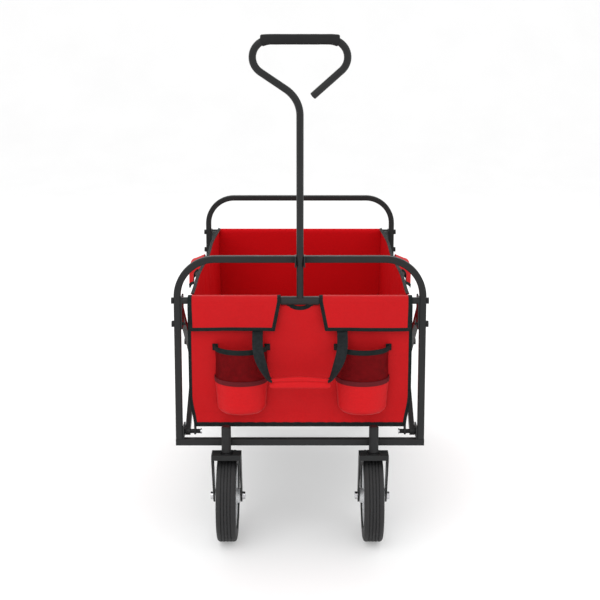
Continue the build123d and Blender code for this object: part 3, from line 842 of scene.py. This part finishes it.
def cup_pocket(label):
    node = f"cup_pocket_{label}"
    low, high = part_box(node)
    centre_x = (low[0] + high[0]) / 2 + (0.002 if label == "left" else 0.0)
    back_y = high[1]
    half, depth = (high[0] - low[0]) / 2, high[1] - low[1]
    bottom, top = low[2], high[2] + 0.006
    band_z = bottom + 0.485 * (top - bottom)

    def pocket_point(turn, z, grow=0.0):
        """A point on the pocket's wall; turn runs from 0 at its left end to pi at its right."""
        share = (z - bottom) / (top - bottom)
        flare = 0.945 + 0.115 * smooth_step(share * 1.5)
        pinch = 1 - 0.10 * (1 - smooth_step(share * 8)) ** 2
        a = half * flare * pinch + grow
        b = depth * (0.93 + 0.05 * share) * pinch + grow
        sag = 0.0045 * (1 - sin(turn)) * smooth_step(share * 2)
        return Vector((centre_x - a * cos(turn), back_y + 0.003 - b * sin(turn) ** 0.86, z + sag))

    def cup_point(u, v):
        """The cup in one piece: its base up to v of CUP_BASE, then its wall up to the band."""
        up = max(0.0, (v - CUP_BASE) / (1 - CUP_BASE))
        z = bottom + 0.001 + up * (band_z - bottom)
        point = pocket_point(pi * u, z)
        if z - bottom < CUP_ROUND:
            draw = 1 - sqrt(max(0.0, 1 - (1 - (z - bottom) / CUP_ROUND) ** 2))
            point = point.lerp(Vector((centre_x, back_y, z)), 0.16 * draw)
        point += Vector((0, -0.0006 * rumple(point.x, up, z, 40, 3), 0))
        if v < CUP_BASE:
            point = Vector((centre_x, back_y, point.z)).lerp(point, v / CUP_BASE)
        return point

    def net_point(u, v):
        z = band_z + v * (top - 0.004 - band_z)
        return pocket_point(pi * u, z, -0.0022 * sin(pi * v))

    def round_pocket(z, grow, count=64):
        """Frames for a tape round the pocket at one height."""
        frames = []
        for k in range(count + 1):
            turn = pi * k / count
            ahead = pocket_point(min(pi, turn + 0.01), z, grow)
            behind = pocket_point(max(0, turn - 0.01), z, grow)
            up = Vector((0, 0, 1))
            frames.append((pocket_point(turn, z, grow), up, unit(unit(ahead - behind).cross(up))))
        return frames

    cloth = Maker()
    cloth.grid(cup_point, 64, 36)
    cup = cloth.make(f"cup_{label}", [mat_cup], thick=0.0016)
    mesh = Maker()
    mesh.grid(net_point, 64, 24)
    net = mesh.make(f"cup_net_{label}", [mat_net])
    tape = Maker()
    tape.strip(round_pocket(band_z, 0.0009), 0.0095, 0.0024)
    band = tape.make(f"cup_band_{label}", [mat_band])
    elastic = Maker()
    elastic.strip(round_pocket(top - 0.0052, 0.0006), 0.0105, 0.0026)
    for end, turn in ((-1, 0), (1, pi)):
        tab = Vector((pocket_point(turn, top).x - end * 0.0015, back_y - 0.0014, top - 0.0025))
        frames = [(tab + Vector((0, 0, step)), Vector((1, 0, 0)), Vector((0, -1, 0)))
                  for step in (-0.0065, -0.003, 0.003, 0.0065)]
        elastic.strip(frames, 0.0115, 0.0030)
        for across in (-0.0042, 0.0042):
            path = [tab + Vector((across, -0.0015, step)) for step in (-0.0055, 0.0055)]
            seam(elastic, path, Vector((0, -1, 0)), pitch=0.0036)
    rim = elastic.make(f"cup_elastic_{label}", [mat_tape, mat_thread])
    for piece, slot in ((net, "red_fabric"), (band, "red_fabric"), (rim, "black_webbing")):
        carry(piece, "front_frame", slot)
    declare(cup, cup_point, "front_frame", [node])


for side, label in SIDES:
    cup_pocket(label)


# Carry handle: two webbing straps and a folded pad ------------------------------------------------

handle_low, handle_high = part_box("carry_handle")
STRAP_Z = handle_high[2] - 0.002                # the straps' tops, under the flap
STRAP_WIDTH, STRAP_THICK = 0.0215, 0.0020
STRAP_ROUTE = (                                 # X outward, then Y from the frame, and Z from STRAP_Z
    (0.0852, -0.0062, 0.0120), (0.0852, -0.0082, 0.0000), (0.0852, -0.0230, -0.0120),
    (0.0840, -0.0390, -0.0270), (0.0800, -0.0455, -0.0440), (0.0738, -0.0478, -0.0600),
    (0.0672, -0.0486, -0.0745), (0.0612, -0.0482, -0.0850), (0.0560, -0.0475, -0.0890),
)
PAD_Y, PAD_Z = handle_low[1] + 0.0045, handle_low[2] + 0.0078
PAD_HALF = 0.0610                               # half its length
PAD_TALL, PAD_DEEP = 0.0108, 0.0048             # half its height and depth
PAD_RINGS, PAD_SIDES = 48, 72


def curve_through(points, steps):
    """Catmull-Rom curve through given points."""
    ends = [points[0] * 2 - points[1], *points, points[-1] * 2 - points[-2]]
    path = []
    for a, b, c, d in zip(ends, ends[1:], ends[2:], ends[3:]):
        for k in range(steps):
            t = k / steps
            path.append(0.5 * (2 * b + (c - a) * t + (2 * a - 5 * b + 4 * c - d) * t * t
                               + (3 * b - a - 3 * c + d) * t**3))
    path.append(points[-1])
    return path


def strap_frames(side):
    """(centre, across, normal) down one strap, which twists as it nears the pad."""
    path = curve_through([Vector((side * x, FRONT + y, STRAP_Z + z)) for x, y, z in STRAP_ROUTE], 8)
    last = len(path) - 1
    frames = []
    for k, here in enumerate(path):
        along = unit(path[min(k + 1, last)] - path[max(k - 1, 0)])
        twist = radians(78) * smooth_step((k / last - 0.32) / 0.62)
        across = unit(Vector((cos(twist), -side * sin(twist), 0)))
        across = unit(across - along * across.dot(along))
        frames.append((here, across, unit(along.cross(across))))
    return frames


def carry_straps():
    straps = Maker()
    for side in (-1, 1):
        frames = strap_frames(side)
        straps.strip(frames, STRAP_WIDTH, STRAP_THICK, sides=16, squareness=0.25)
        for edge in (-0.0085, 0.0085):
            sewn = [centre + across * edge + normal * (STRAP_THICK / 2)
                    for centre, across, normal in frames[2:12]]
            seam(straps, sewn, Vector((0, -1, 0)))
    carry(straps.make("carry_straps", [mat_strap, mat_thread]), "front_frame", "black_webbing")


def pad_ring(t):
    """The pad's outline at t from -1 to 1 along it, with a crease along its front and back."""
    x = PAD_HALF * t
    end = (1 - abs(t) ** 14) ** 0.5
    swell = 0.90 + 0.10 * cos(pi * t * 0.5) ** 2
    tall = PAD_TALL * (0.72 + 0.28 * end)
    deep = PAD_DEEP * swell * (0.35 + 0.65 * end)
    ring = []
    for j in range(PAD_SIDES):
        c, s = cos(2 * pi * j / PAD_SIDES), sin(2 * pi * j / PAD_SIDES)
        crease = 0.0042 * max(0.0, 1 - abs(s - 0.12) / 0.16) * (1 if c < 0 else 0.3)
        dy = c * deep * max(abs(c), 1e-6) ** -0.45 + (crease if c < 0 else -crease)
        dz = s * tall * max(abs(s), 1e-6) ** -0.35 + 0.0009 * cos(pi * t) * (1 + s)
        ring.append(Vector((x, PAD_Y + dy + 0.0003 * rumple(x, c, s, 8, 7), PAD_Z + dz)))
    return ring


def carry_pad():
    maker = Maker()
    maker.rings([pad_ring(2 * k / PAD_RINGS - 1) for k in range(PAD_RINGS + 1)])
    for height in (0.0088, -0.0088):
        path = [Vector((PAD_HALF * 0.95 * (2 * k / 40 - 1), PAD_Y - 0.0046, PAD_Z + height))
                for k in range(41)]
        seam(maker, path, Vector((0, -1, 0)))
    pad = maker.make("carry_pad", [mat_pad, mat_thread_red], levels=1)
    carry(pad, "front_frame", "red_fabric")
    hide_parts("carry_handle")


carry_straps()
carry_pad()


# Foam grip: a straight sleeve whose ends stretch over the start of each bend ----------------------

GRIP_R = 0.0097
HANDLE_LEAN = radians(12.165)                   # the handle leans forward by this much
STRAIGHT_HALF = 0.0545                          # half the straight part of the loop's top
grip_low, grip_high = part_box("handle_grip")
GRIP_HALF = (grip_high[0] - grip_low[0]) / 2 - 0.0015
GRIP_AXIS = Vector((0, grip_low[1] + GRIP_R, grip_high[2] - GRIP_R))
GRIP_RINGS, GRIP_SIDES = 60, 28                 # rings each side of the middle


def grip_ring(t):
    """The grip's outline at t from -1 to 1 along it."""
    up_along = Vector((0, -sin(HANDLE_LEAN), cos(HANDLE_LEAN)))
    out_from = Vector((0, -cos(HANDLE_LEAN), -sin(HANDLE_LEAN)))
    x = GRIP_HALF * t
    over = max(0.0, (abs(x) - STRAIGHT_HALF) / (GRIP_HALF - STRAIGHT_HALF))
    droop = 0.0030 * over**1.6
    chamfer = max(0.0, (abs(t) - 0.972) / 0.028)
    radius = GRIP_R * (1 - 0.16 * chamfer**1.5) + 0.0002 * rumple(x, 0, 0, 60, 2)
    ring = []
    for j in range(GRIP_SIDES):
        turn = 2 * pi * j / GRIP_SIDES
        low_side = max(0.0, -sin(turn))
        rise = radius * sin(turn) - droop * (low_side + 0.35)
        skew = 0.004 * over * low_side * (-1 if t > 0 else 1)
        at = out_from * (radius * cos(turn)) + up_along * rise
        ring.append(GRIP_AXIS + Vector((x + skew, 0, 0)) + at)
    return ring


def foam_grip():
    foam = Maker()
    foam.rings([grip_ring(k / GRIP_RINGS) for k in range(-GRIP_RINGS, GRIP_RINGS + 1)])
    grip = foam.make("foam_grip", [mat_foam])
    carry(grip, "handle", "grip_foam")
    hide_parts("handle_grip")


foam_grip()


# Studio floor -------------------------------------------------------------------------------------

BEND_START, BEND_R = 5.0, 2.0                   # where the backdrop starts to curve up, and how tightly


def sweep_point(u, v):
    """A floor that curves up into a backdrop well behind the wagon."""
    run = 16 * v - 6
    turn = min(pi / 2, max(0.0, (run - BEND_START) / BEND_R))
    beyond = max(0.0, run - BEND_START - BEND_R * pi / 2)
    return Vector((20 * (u - 0.5), min(run, BEND_START) + BEND_R * sin(turn),
                   BEND_R * (1 - cos(turn)) + beyond - 0.0005))


def studio_floor():
    pale = Shader("pale_floor")
    pale.link(pale.ramp(pale.noise(3, 2), (0.66, 0.66, 0.66), (0.68, 0.68, 0.68)),
              pale.surface.inputs["Base Color"])
    pale.set(Roughness=0.95, Specular_IOR_Level=0.0, Emission_Color=(1, 1, 1, 1), Emission_Strength=0.30)
    sweep = Maker()
    sweep.grid(sweep_point, 4, 96)
    sweep.make("studio_floor", [pale.material])


studio_floor()
